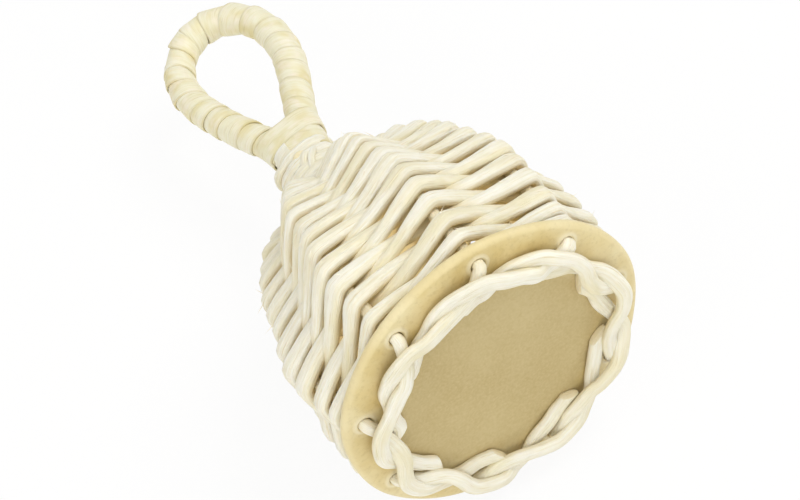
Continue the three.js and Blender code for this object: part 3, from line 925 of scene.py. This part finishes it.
def ring_of(centre, radius, count):
    turn = 2 * math.pi * np.arange(count) / count
    return centre + radius * np.stack([np.cos(turn), np.sin(turn)], axis=-1)


def to_holes(places):
    """Distance from each place to the nearest hole's centre."""
    return np.linalg.norm(places[:, None] - hole_centres[None], axis=2).min(axis=1)


def disc_plan():
    """Points of the disc's flat plan: rings about the centre, and rings about each hole."""
    plain = np.vstack([ring_of(np.zeros(2), radius, max(8, int(2 * math.pi * radius / POINT_STEP)))
                       for radius in np.arange(OUTER_RING, 1.0, -RING_STEP)])
    near = np.vstack([ring_of(centre, radius, HOLE_POINTS) for centre in hole_centres for radius in HOLE_RINGS])
    return np.vstack([ring_of(np.zeros(2), face_radius, RIM_POINTS), plain[to_holes(plain) > HOLE_CLEAR], near])


flat = delaunay_2d_cdt([Vector(p) for p in disc_plan()], [], [], 0, 1e-5)
plan = np.array([tuple(v) for v in flat[0]])
triangles = np.array(flat[2])
triangles = triangles[to_holes(plan[triangles].mean(axis=1)) > HOLE_RADIUS * 0.98]
from_axis = np.linalg.norm(plan, axis=1)
hole_gap = to_holes(plan)
fall = RIM_FALL * ramp(from_axis, FIELD_RADIUS, face_radius - FIELD_RADIUS) ** 1.5
lip = LIP_HEIGHT * hump(hole_gap, 2.2, 0.5)
dimple = DIMPLE_DEPTH * hump(hole_gap, 0.5, 3.4)
front = fall + (dimple - lip) * ramp(-from_axis, -face_radius, 1.0)
print("disc plan:", len(plan), "points,", len(triangles), "triangles")


# %% Disc mesh
def edge_of(faces):
    """Edges that belong to one triangle only, in their faces' order."""
    edges = {pair for a, b, c in faces for pair in ((a, b), (b, c), (c, a))}
    return [(a, b) for a, b in edges if (b, a) not in edges]


count = len(plan)
places = [np.column_stack([plan, front]), np.column_stack([plan, np.full(count, DISC_THICKNESS)])]
faces = [tuple(t) for t in triangles] + [tuple(t[::-1] + count) for t in triangles]
edges = edge_of(triangles)
faces += [(b, a, a + count, b + count) for a, b in edges if from_axis[a] < face_radius - 0.5]

rim = sorted(
    (a for a, b in edges if from_axis[a] > face_radius - 0.5),
    key=lambda i: math.atan2(plan[i, 1], plan[i, 0]),
)
rim_plan = plan[rim] / face_radius
middle, half = (DISC_THICKNESS + RIM_FALL) / 2, (DISC_THICKNESS - RIM_FALL) / 2
rows = [rim]
for turn in np.linspace(0, math.pi, RIM_ROWS)[1:-1]:
    rows.append([sum(len(p) for p in places) + i for i in range(len(rim))])
    ring = rim_plan * (face_radius + RIM_ROUND * math.sin(turn))
    places.append(np.column_stack([ring, np.full(len(rim), middle - half * math.cos(turn))]))
rows.append([i + count for i in rim])
for low_row, high_row in zip(rows, rows[1:]):
    for i in range(len(rim)):
        j = (i + 1) % len(rim)
        faces.append((low_row[j], low_row[i], high_row[i], high_row[j]))
places = np.vstack(places)
angle = np.arctan2(places[:, 1], places[:, 0])
wave = sum(size * np.cos(count * angle + shift) for size, count, shift in OUTLINE_WAVES)
outward = ramp(np.linalg.norm(places[:, :2], axis=1), 35.5, 2.5)
places[:, :2] *= 1 + (wave * outward / DISC_RADIUS)[:, None]

disc_mesh = bpy.data.meshes.new("disc")
disc_mesh.from_pydata(laid(places).tolist(), [], [tuple(int(i) for i in f) for f in faces])
disc_mesh.polygons.foreach_set("use_smooth", [True] * len(disc_mesh.polygons))
centre_gap = np.linalg.norm(places[:, :2], axis=1)
hole_gap = to_holes(places[:, :2])
mark(
    disc_mesh,
    rim=ramp(centre_gap, 25.0, 3.5),
    # Painted shadow of the foot border on the rim, between the holes.
    shade=hump(centre_gap, 32.0, 2.4) * ramp(hole_gap, 2.0, 3.0),
    # Painted light: a lighter band along the rim's outer edge.
    edge=ramp(centre_gap, 36.3, 1.2),
    lip=hump(hole_gap, 2.3, 0.6),
)
if inside_out(disc_mesh):
    disc_mesh.flip_normals()
disc = placed("disc", disc_mesh)
settle(disc, "basket", "disc", "base_disc")
print("disc:", len(disc_mesh.polygons), "faces,", STAKES, "holes")

# %% Disc finish
def disc_finish():
    material, tree, shader = new_finish("waxed_shell")
    broad = speckle(tree, 45.0, 2.0)
    mottle = speckle(tree, 85.0, 8.0)
    speck = speckle(tree, 900.0, 5.0, 3.0, 0.6)
    grain = speckle(tree, 1500.0, 3.0, 2.0, 0.5)
    rim = attribute(tree, "rim")
    field = tinted(tree, spread(tree, broad, 0.35, 0.68), srgb(186, 166, 115), srgb(198, 180, 131))
    field = tinted(tree, spread(tree, grain, 0.35, 0.7, 0.0, 0.45), field, srgb(208, 191, 144))
    band = tinted(tree, spread(tree, mottle, 0.36, 0.66), srgb(222, 201, 140), srgb(236, 223, 178))
    colour = tinted(tree, rim, field, band)
    colour = tinted(tree, spread(tree, speck, 0.5, 0.72, 0.0, 0.3), colour, srgb(180, 157, 103))
    for name, most, tint in (
        # Painted shadow of the foot border.
        ("shade", 0.2, srgb(202, 172, 104)),
        # Painted light along the outer edge.
        ("edge", 0.5, srgb(226, 211, 164)),
        ("lip", 0.75, srgb(232, 222, 190)),
    ):
        colour = tinted(tree, times(tree, attribute(tree, name), most), colour, tint)
    fill(tree, shader, {
        "Base Color": colour,
        "Roughness": spread(tree, rim, 0.0, 1.0, 0.72, 0.42),
        "Normal": bumped(tree, plus(tree, times(tree, broad, 2.0), times(tree, speck, 0.35)), 0.5, 0.25),
        "Specular IOR Level": 0.35,
    })
    return material


disc_mesh.materials.append(disc_finish())
print("disc finish:", disc_mesh.materials[0].name)

# %% [markdown]
# ## Neck binding
# Above the last woven row one reed is wound tightly round the gathered stakes, up to the collar. It is the
# same reed as the weavers, pressed flatter, so the strand tree makes it from a rising spiral.

# %% Neck binding
BINDING_START_RUN = 71.2
BINDING_FIRST_CLIMB = 1.5
BINDING_END_RUN = wall_run[np.argmax(wall_line[:, 1] >= 86.2)]
BINDING_TURNS = 8.29
BINDING_HALF_WIDTH = 1.6
BINDING_HALF_THICK = 1.1
BINDING_BULGE = 1.5
BULGE_HEIGHT = 83.5
BULGE_REACH = 3.0
BINDING_SAG = 0.06
BINDING_SINK = 1.1
BINDING_STEPS = 60
RUN_WANDER = 0.2
LIFT_WANDER = 0.18
BAND_WANDER = 0.12
pitch = (BINDING_END_RUN - BINDING_START_RUN - BINDING_FIRST_CLIMB) / BINDING_TURNS
steps = int(BINDING_TURNS * BINDING_STEPS)
rng = np.random.default_rng(21)
turned = np.linspace(0.0, BINDING_TURNS, steps)
angle = TOP_STAKE_ANGLE + SPACING * (LAST_CROSSING + 0.5) + 2 * math.pi * turned
run = BINDING_START_RUN + BINDING_FIRST_CLIMB * np.clip(turned, 0, 1) + pitch * turned
radius, place, out = wall_at(run + RUN_WANDER * wander(rng, steps, 9), angle)
from_stake = np.abs(np.mod((angle - TOP_STAKE_ANGLE) / SPACING + 0.5, 1.0) - 0.5)
lift = STAKE_RADIUS + BINDING_HALF_THICK - BINDING_SAG * radius * (2 * from_stake) ** 2
lift = lift + LIFT_WANDER * wander(rng, steps, 6) - BINDING_SINK * np.clip(1 - turned / 2, 0, 1)
leftward = np.clip(-(np.cos(angle) * loop_across[0] + np.sin(angle) * loop_across[1]), 0, 1)
lift = lift + BINDING_BULGE * leftward ** 4 * hump(place[:, 2], BULGE_HEIGHT, BULGE_REACH)
points = gathered(place + out * lift[:, None])
face, side = across(points, out)
width = BINDING_HALF_WIDTH * (1 + BAND_WANDER * wander(rng, steps, 14))
strand("neck_reed", points, face, side, width, BINDING_HALF_THICK, reed_finish, 25, nodes=["neck_binding"], sides=24,
       ridges=0.3)
print("neck binding:", round(BINDING_TURNS, 1), "turns")

# %% [markdown]
# ## Loop handle
# The handle is a rod bent to a teardrop. Its legs go down side by side into the neck, and a flat cane strip
# is wound along it, each turn lapping over the edge of the next. The core is almost hidden. The wrap could be
# a row of rings, but a real strip climbs as it turns, so it is one strand with a flat section whose low edge
# tucks under the turn before.

# %% Handle core
CORE_RADIUS = 2.1
LOOP_STOPS = [
    (2.25, 72.0), (2.25, 80.0), (2.5, 86.0), (3.2, 91.0), (4.7, 96.0), (7.2, 102.0), (11.0, 110.9), (13.5, 118.2),
    (14.5, 124.5), (14.2, 131.5), (11.7, 139.2), (7.3, 144.4), (2.0, 146.2), (-3.6, 145.5), (-8.5, 142.0),
    (-11.9, 135.6), (-13.1, 127.0), (-11.3, 117.0), (-8.9, 108.0), (-6.4, 101.0), (-4.4, 95.5), (-3.1, 91.0),
    (-2.5, 86.0), (-2.25, 80.0), (-2.25, 72.0),
]
loop_plan = np.array(LOOP_STOPS)
loop_places = loop_plan[:, :1] * loop_across + loop_plan[:, 1:] * UPWARD
handle_line = even_line(smooth_line(loop_places, 24), 0.5)
handle_run = run_along(handle_line)
points = even_line(handle_line, 1.5)
face, side = across(points, loop_face)
# The rod gets some painted shade, as the wrap almost hides it.
strand("handle_rod", points, face, side, CORE_RADIUS, CORE_RADIUS, reed_finish, 31, 0.3, nodes=["handle_core"])
print("handle rod:", round(handle_run[-1]), "mm")

# %% Handle wrap
WRAP_START_HEIGHT = 91.5
WRAP_TURNS = 20
WRAP_TOP_RADIUS = 4.35
WRAP_END_RADIUS = 3.3
WRAP_TAPER = 9.0
WRAP_STEP = 0.5
WRAP_HALF_THICK = 0.27
WRAP_LAP = 1.22
WRAP_CROWN = 0.2
WRAP_STEPS = 40
TURN_SPREAD = 0.24
TURN_LIMITS = (0.6, 1.5)
TOP_SPREAD = 0.03
LOW_WANDER = 0.4
HIGH_WANDER = 0.65
OVER_WANDER = 0.05
STEP_WANDER = 0.25


def on_handle(run, turn, radius):
    """A point on the rod's surface: run along it, turn round it."""
    centre = read_off(run, handle_run, handle_line)
    along = unit(read_off(run, handle_run, np.gradient(handle_line, axis=0)))
    sideways = np.cross(loop_face, along)
    out = sideways * np.sin(turn)[:, None] + loop_face * np.cos(turn)[:, None]
    return centre + out * np.asarray(radius)[:, None], out


wrap_start = handle_run[np.argmax(handle_line[:, 2] > WRAP_START_HEIGHT)]
rng = np.random.default_rng(33)
turn_widths = np.clip(1 + TURN_SPREAD * rng.normal(size=WRAP_TURNS + 2), *TURN_LIMITS)
turn_edges = np.concatenate([[0.0], np.cumsum(turn_widths)])
turn_edges *= (handle_run[-1] - 2 * wrap_start) / turn_edges[WRAP_TURNS + 1]
turn_tops = TOP_SPREAD * rng.normal(size=WRAP_TURNS + 3)
steps = WRAP_TURNS * WRAP_STEPS
turned = np.linspace(0.0, WRAP_TURNS, steps)
whole = np.arange(WRAP_TURNS + 3)
low_run = wrap_start + np.interp(turned, whole, turn_edges) + LOW_WANDER * wander(rng, steps, 16)
high_run = wrap_start + np.interp(turned + WRAP_LAP, whole, turn_edges) + HIGH_WANDER * wander(rng, steps, 14)
turn = 2 * math.pi * turned
from_end = np.minimum(high_run, handle_run[-1] - low_run) - wrap_start
over = np.interp(from_end, [0.0, WRAP_TAPER], [WRAP_END_RADIUS, WRAP_TOP_RADIUS])
over = over + np.interp(turned, whole, turn_tops) + OVER_WANDER * wander(rng, steps, 10)
step = WRAP_STEP * (1 + STEP_WANDER * wander(rng, steps, 24))
low_edge, out = on_handle(low_run, turn, over - WRAP_HALF_THICK - step)
high_edge, out_high = on_handle(high_run, turn, over - WRAP_HALF_THICK)
points = (low_edge + high_edge) / 2
side = unit(high_edge - low_edge)
face = unit(out + out_high)
face = unit(face - np.sum(face * side, axis=1, keepdims=True) * side)
half_width = np.linalg.norm(high_edge - low_edge, axis=1) / 2
strand("handle_cane", points, face, side, half_width, WRAP_HALF_THICK, cane_finish, 35, slot="cane",
       nodes=["handle_wrap"], sides=18, squareness=0.4, unevenness=0.05, ridges=0.05, crown=WRAP_CROWN)
widths = np.diff(turn_edges)
print("wrap:", WRAP_TURNS, "turns of", np.round(widths.min(), 1), "to", np.round(widths.max(), 1), "mm")

# %% [markdown]
# ## Collar
# A wide flat cane strip binds the stakes' tops and the loop's legs together. It is nearly round at its foot,
# where it grips nine stakes, and flatter and wider at its top, where the legs part. A plain sleeve would hide
# how it is wound, so it is a strand on a route of half turns and heights. A tucked tail and three stake tips
# show at its foot.

# %% Collar
COLLAR_STOPS = [
    (-0.5, 92.0), (0.0, 93.4), (0.25, 91.8), (0.42, 89.6), (0.55, 88.2), (0.72, 87.1), (0.95, 87.3), (1.2, 88.0),
    (1.6, 90.6), (2.0, 94.0), (2.25, 93.1), (2.5, 92.7), (2.75, 93.0), (3.0, 93.5), (3.3, 93.0), (3.85, 91.8),
]
COLLAR_HALF_WIDTH = 3.4
COLLAR_HALF_THICK = 0.32
COLLAR_CROWN = 0.25
COLLAR_FLARE = 0.16
COLLAR_FOOT_REACH = 6.0
COLLAR_OVERLAP = 0.55
OVERLAP_START = 1.3
OVERLAP_LENGTH = 0.6
COLLAR_DEPTH = 4.9
COLLAR_DEPTH_LOST = 0.4
COLLAR_FOOT = 85.0
COLLAR_BEND = 0.82
COLLAR_STEPS = 420


def flattened(wave):
    """A cosine or sine pushed towards its ends, for a neck that is not quite round."""
    return np.sign(wave) * np.abs(wave) ** COLLAR_BEND


def collar_route(stops, layer):
    """Places and directions of a strip round the pressed neck: half turns from its left end, and heights."""
    half_turns, heights = np.array(stops).T
    places = smooth_line(np.column_stack([4 * half_turns, heights]), 40)
    beta = np.linspace(half_turns[0], half_turns[-1], COLLAR_STEPS) * math.pi
    height = np.interp(beta, places[:, 0] / 4 * math.pi, places[:, 1])
    reach = COLLAR_FOOT_REACH + COLLAR_FLARE * (height - COLLAR_FOOT) + layer
    depth = COLLAR_DEPTH - COLLAR_DEPTH_LOST * ramp(height, 84.0, 8.0) + layer
    around, front = flattened(-np.cos(beta)), flattened(np.sin(beta))
    points = loop_across * (reach * around)[:, None] - loop_face * (depth * front)[:, None]
    points[:, 2] += height
    guide = unit(loop_across * (around / reach)[:, None] - loop_face * (front / depth)[:, None])
    guide[:, 2] = -COLLAR_FLARE * np.abs(around)
    return points, *across(points, unit(guide))


half_turns = np.linspace(COLLAR_STOPS[0][0], COLLAR_STOPS[-1][0], COLLAR_STEPS)
layer = COLLAR_HALF_THICK + COLLAR_OVERLAP * ramp(half_turns, OVERLAP_START, OVERLAP_LENGTH)
strand("collar_cane", *collar_route(COLLAR_STOPS, layer), COLLAR_HALF_WIDTH, COLLAR_HALF_THICK, cane_finish, 38,
       slot="cane", nodes=["collar"], sides=18, squareness=0.4, unevenness=0.06, ridges=0.05, crown=COLLAR_CROWN)
print("collar:", round((half_turns[-1] - half_turns[0]) / 2, 2), "turns")

# %% Tail and stake tips
TAIL_STOPS = [(-0.7, 84.2), (-0.35, 86.4), (-0.1, 87.9), (0.1, 87.9), (0.25, 87.7), (0.4, 87.6)]
TAIL_HALF_WIDTH = 2.2
TAIL_HALF_THICK = 0.4
STAKE_TIPS = [
    ((-4.4, 82.0, 3.9), (-0.2, 83.4, 4.6)),
    ((-3.3, 78.2, 4.4), (0.7, 83.5, 4.4)),
    ((-1.8, 76.4, 4.6), (2.1, 82.3, 4.6)),
]
# Painted shade on the first stake tip.
TIP_SHADES = (0.75, 0.0, 0.0)
TIP_BOW = 1.5
TIP_HALF_WIDTH = 0.95
TIP_HALF_THICK = 0.7
strand("collar_tail", *collar_route(TAIL_STOPS, TAIL_HALF_THICK), TAIL_HALF_WIDTH, TAIL_HALF_THICK, reed_finish, 39,
       squareness=0.5, unevenness=0.1)
for number, (foot, top) in enumerate(STAKE_TIPS):
    ends = np.array([foot, (np.array(foot) + top) / 2, top])
    ends[1, 2] += TIP_BOW
    points = ends[:, :1] * loop_across - ends[:, 2:] * loop_face + ends[:, 1:2] * UPWARD
    points = even_line(smooth_line(points, 12), 0.4)
    face, side = across(points, -loop_face)
    strand(f"stake_tip_{number + 1}", points, face, side, TIP_HALF_WIDTH, TIP_HALF_THICK, stake_finish, 51 + number,
           TIP_SHADES[number], sides=16, squareness=0.8)
print("one tucked tail and", len(STAKE_TIPS), "stake tips")

# %% [markdown]
# ## Seeds
# The rattle comes from loose seeds, seen only as dark specks between the strands. Each is its own body in
# the frame, so each is its own piece: a ball that a small tree flattens, dents along a seam and roughens.

# %% Seed tree
def seed_tree():
    tree, given, result = new_tree("Seed", "Radius", "Flatness", "Seam depth", "Roughness", "Seed")
    ball = made(tree, "GeometryNodeMeshIcoSphere", {"Radius": given["Radius"], "Subdivisions": 4})
    place = made(tree, "GeometryNodeInputPosition")
    parts = add(tree, "ShaderNodeSeparateXYZ", {0: place}).outputs
    share = sums(tree, "DIVIDE", parts["Z"], given["Radius"])
    apart = sums(tree, "POWER", sums(tree, "ABSOLUTE", share), 2.0)
    seam = sums(tree, "EXPONENT", times(tree, apart, -60.0))
    noise = noise_at(tree, place, given["Seed"], 500.0)
    lump = times(tree, sums(tree, "SUBTRACT", noise, 0.6), given["Roughness"])
    size = plus(tree, sums(tree, "SUBTRACT", 1.0, times(tree, seam, given["Seam depth"])), lump)
    flat = vector(tree, 1.0, 0.94, given["Flatness"])
    moved = made(tree, "ShaderNodeVectorMath", {0: scaled(tree, place, size), 1: flat}, operation="MULTIPLY")
    ball = made(tree, "GeometryNodeSetPosition", {"Geometry": ball, "Position": moved})
    ball = made(tree, "GeometryNodeSetShadeSmooth", {"Geometry": ball})
    return end_tree(tree, ball, given, result)


def husk_finish():
    material, tree, shader = new_finish("seed_husk")
    mottle = speckle(tree, 420.0, 1.0, 4.0, 0.6)
    fill(tree, shader, {
        "Base Color": tinted(tree, spread(tree, mottle, 0.35, 0.68), srgb(96, 58, 34), srgb(150, 100, 60)),
        "Roughness": spread(tree, mottle, 0.3, 0.7, 0.3, 0.5),
        "Normal": bumped(tree, mottle, 0.4, 0.1),
    })
    return material


SEED_TREE = seed_tree()
print("tree:", SEED_TREE.name, "with", len(SEED_TREE.nodes), "nodes")

# %% Seeds
SEED_FINISH = husk_finish()
SEED_FIT = 0.99
SEED_FLATNESS = (0.84, 0.95)
SEED_ROUGHNESS = 0.08
SEAM_DEPTH = 0.05
seed_names = [name for name in frame["bodies"] if name.startswith("seed_")]
for number, name in enumerate(seed_names):
    low, high = (np.array(corner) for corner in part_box(name))
    rng = np.random.default_rng(60 + number)
    empty = bpy.data.meshes.new(name + "_start")
    piece = grown(f"husk_{number + 1}", empty, SEED_TREE, Radius=float((high - low).min() / 2) * SEED_FIT,
                  Flatness=float(rng.uniform(*SEED_FLATNESS)), Roughness=SEED_ROUGHNESS, Seed=float(number),
                  Finish=SEED_FINISH, **{"Seam depth": SEAM_DEPTH})
    turn = Matrix.Rotation(rng.uniform(0, 6.28), 4, "Z") @ Matrix.Rotation(rng.uniform(0, 3.14), 4, "X")
    piece.data.transform(Matrix.Translation(Vector((low + high) / 2)) @ turn)
    settle(piece, name, "seed", name)
print("seeds:", len(seed_names))

# %% [markdown]
# ## Floor and light
# The instrument lies on a white table in soft light from the upper right. The floor shows as white to the
# camera but still takes a part of the shadow, so the object does not float.

# %% Floor
WHITE = (1.0, 1.0, 1.0, 1.0)
FLOOR_WHITE = 0.91
FLOOR_HALF = 3.0


def seen_rays(tree):
    """One for rays that the camera sees, straight or by way of a gloss, and zero for the others."""
    path = add(tree, "ShaderNodeLightPath").outputs
    onward = sums(tree, "MAXIMUM", path["Is Glossy Ray"], path["Is Transmission Ray"])
    return sums(tree, "MAXIMUM", path["Is Camera Ray"], onward)


def floor_finish():
    material = bpy.data.materials.new("white_table")
    tree = emptied(material)
    matt = made(tree, "ShaderNodeBsdfDiffuse", {"Color": srgb(244, 243, 240)})
    white = made(tree, "ShaderNodeEmission", {"Color": WHITE, "Strength": 1.0})
    mixed = made(tree, "ShaderNodeMixShader", {0: times(tree, seen_rays(tree), FLOOR_WHITE), 1: matt, 2: white})
    add(tree, "ShaderNodeOutputMaterial", {"Surface": mixed})
    return material


floor_mesh = bpy.data.meshes.new("floor")
corners = [(x * FLOOR_HALF, y * FLOOR_HALF, 0) for x, y in ((-1, -1), (1, -1), (1, 1), (-1, 1))]
floor_mesh.from_pydata(corners, [], [(0, 1, 2, 3)])
floor_mesh.materials.append(floor_finish())
floor = placed("floor", floor_mesh)
floor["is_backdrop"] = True
print("floor:", 2 * FLOOR_HALF, "m wide")

# %% Light
LAMPS = {
    "key_lamp": ((0.66, -0.08, 1.24), 8.9),
    "front_lamp": ((-0.35, -1.2, 0.7), 4.0),
    "left_lamp": ((-1.05, -0.3, 0.75), 3.6),
}
LAMP_AIM = Vector((0.0, 0.0, 0.03))
LAMP_SIZE = 0.9
SKY_STRENGTH = 0.57

for name, (place, watts) in LAMPS.items():
    lamp_data = bpy.data.lights.new(name, "AREA")
    lamp_data.shape = "DISK"
    lamp_data.size = LAMP_SIZE
    lamp_data.energy = watts
    turn = (LAMP_AIM - Vector(place)).to_track_quat("-Z", "Y").to_matrix().to_4x4()
    placed(name, lamp_data).matrix_world = Matrix.Translation(place) @ turn

# Light that filters through the thin reed from every side fills the inside. A faint lamp stands for it.
GLOW_PLACE = np.array([[0.0, 0.0, 34.0]])
GLOW_WATTS = 0.02
GLOW_COLOUR = (0.94, 0.98, 1.0)
GLOW_RADIUS = 12.0
glow_data = bpy.data.lights.new("inside_glow", "POINT")
glow_data.energy = GLOW_WATTS
glow_data.color = GLOW_COLOUR
glow_data.shadow_soft_size = GLOW_RADIUS * MM
placed("inside_glow", glow_data).location = laid(GLOW_PLACE)[0].tolist()

world = bpy.data.worlds.new("studio")
scene.world = world
tree = emptied(world)
strength = spread(tree, seen_rays(tree), 0.0, 1.0, SKY_STRENGTH, 1.0)
sky = made(tree, "ShaderNodeBackground", {"Color": WHITE, "Strength": strength})
add(tree, "ShaderNodeOutputWorld", {"Surface": sky})

# %% [markdown]
# ## Size against the CAD box
# The dressed model must stay within the CAD box, apart from the little that reed stands proud. The cell prints how
# far each side stands out.

# %% How far the dressed model stands out of the CAD box
low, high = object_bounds()
stands_out = [round((a - b) / MM, 2) for a, b in zip([*low, *high], [*cad_low, *cad_high])]
print("visual box minus CAD box, mm:", stands_out)
